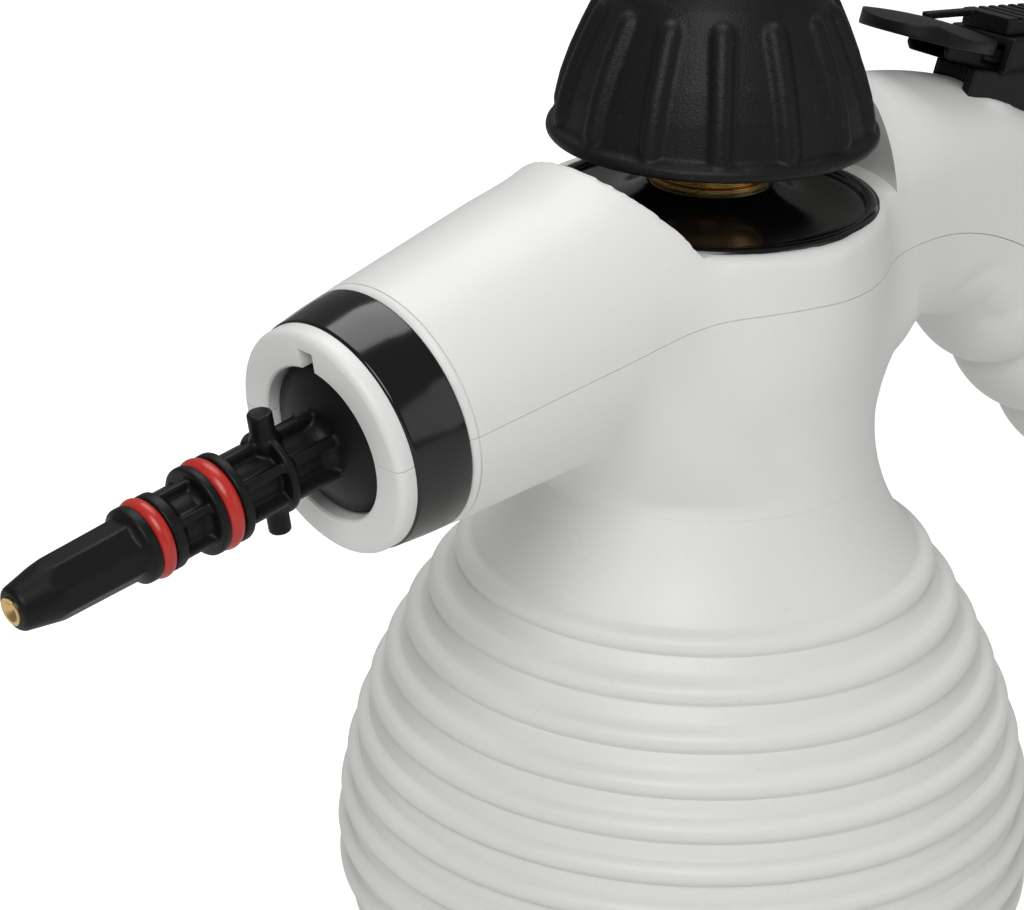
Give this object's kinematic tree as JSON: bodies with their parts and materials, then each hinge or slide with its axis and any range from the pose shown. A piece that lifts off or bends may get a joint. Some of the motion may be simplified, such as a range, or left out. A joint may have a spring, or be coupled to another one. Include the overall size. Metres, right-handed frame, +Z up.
{
  "type": "handheld steam cleaner",
  "caption": "Hand-held pressurised steam cleaner: ribbed bell-shaped tank, gun-shaped body with bayonet nozzle, screw-on safety cap, thumb lever with sliding lock and curved grip.",
  "frame": {"origin": "centre of the rubber sole's underside, on the tank's axis", "axes": "+Z up along the tank's axis, nozzle towards -X, grip towards +X"},
  "size_m": [0.2969, 0.134, 0.2038],
  "materials": {
    "white_shell": "satin moulded, fine spark texture",
    "white_tank": "satin moulded",
    "black_satin": "leather-grained satin",
    "black_gloss": "polished",
    "black_rubber": "matt",
    "seal_red": "smooth silicone",
    "hose": "translucent silicone hose",
    "brass": "turned",
    "copper_tube": "drawn",
    "boiler_metal": "die cast",
    "steel": "ground"
  },
  "bodies": {
    "housing": {"tank_cover": "white_tank", "base_plate": "black_satin", "rubber_sole": "black_rubber", "lower_shell": "white_shell", "upper_shell": "white_shell", "nose_band": "black_gloss", "nozzle": "black_satin", "seal_large": "seal_red", "seal_small": "seal_red", "brass_tip": "brass", "dish": "black_gloss", "filler_neck": "brass", "boiler_pot": "boiler_metal", "boiler_lid": "boiler_metal", "heater": "steel", "thermostat": "black_satin", "steam_tube": "copper_tube", "outlet_tube": "hose", "valve_body": "brass", "valve_spring": "steel", "trigger_mount": "black_satin", "trigger_pin": "steel", "cord_gland": "black_rubber"},
    "cap_seal": {"cap_gasket": "seal_red"},
    "cap": {"cap_shell": "black_satin", "cap_plug": "brass", "relief_screw": "brass", "relief_spring": "steel"},
    "relief": {"relief_poppet": "steel"},
    "trigger": {"trigger_lever": "black_satin"},
    "plunger": {"valve_plunger": "steel"},
    "lock": {"lock_slider": "black_satin"}
  },
  "joints": [
    {"name": "cap_lift", "type": "slide", "parent": "housing", "child": "cap_seal", "axis": [0, 0, 1], "range_m": [0, 0.012]},
    {"name": "cap_turn", "type": "hinge", "parent": "cap_seal", "child": "cap", "pos_m": [0, 0, 0.1708], "axis": [0, 0, 1], "range_deg": [0, 1444]},
    {"name": "relief_slide", "type": "slide", "parent": "cap", "child": "relief", "axis": [0, 0, 1], "range_m": [0, 0.0015], "stiffness_N_per_m": 1000, "springref_m": -0.0025, "deforming": ["relief_spring"]},
    {"name": "trigger_press", "type": "hinge", "parent": "housing", "child": "trigger", "pos_m": [0.07947, 0, 0.16787], "axis": [0, -1, 0], "range_deg": [0, 7.1]},
    {"name": "plunger_slide", "type": "slide", "parent": "housing", "child": "plunger", "axis": [-0.342, 0, -0.9397], "range_m": [0, 0.0011], "stiffness_N_per_m": 1500, "springref_m": -0.002, "deforming": ["valve_spring"]},
    {"name": "lock_slide", "type": "slide", "parent": "housing", "child": "lock", "axis": [0.9925, 0, -0.1219], "range_m": [0, 0.005]}
  ],
  "couplings": [
    {"joint": "cap_turn", "follows": "cap_lift", "rad_per_m": 2094.4},
    {"joint": "trigger_press", "follows": "plunger_slide", "rad_per_m": 111.11}
  ]
}
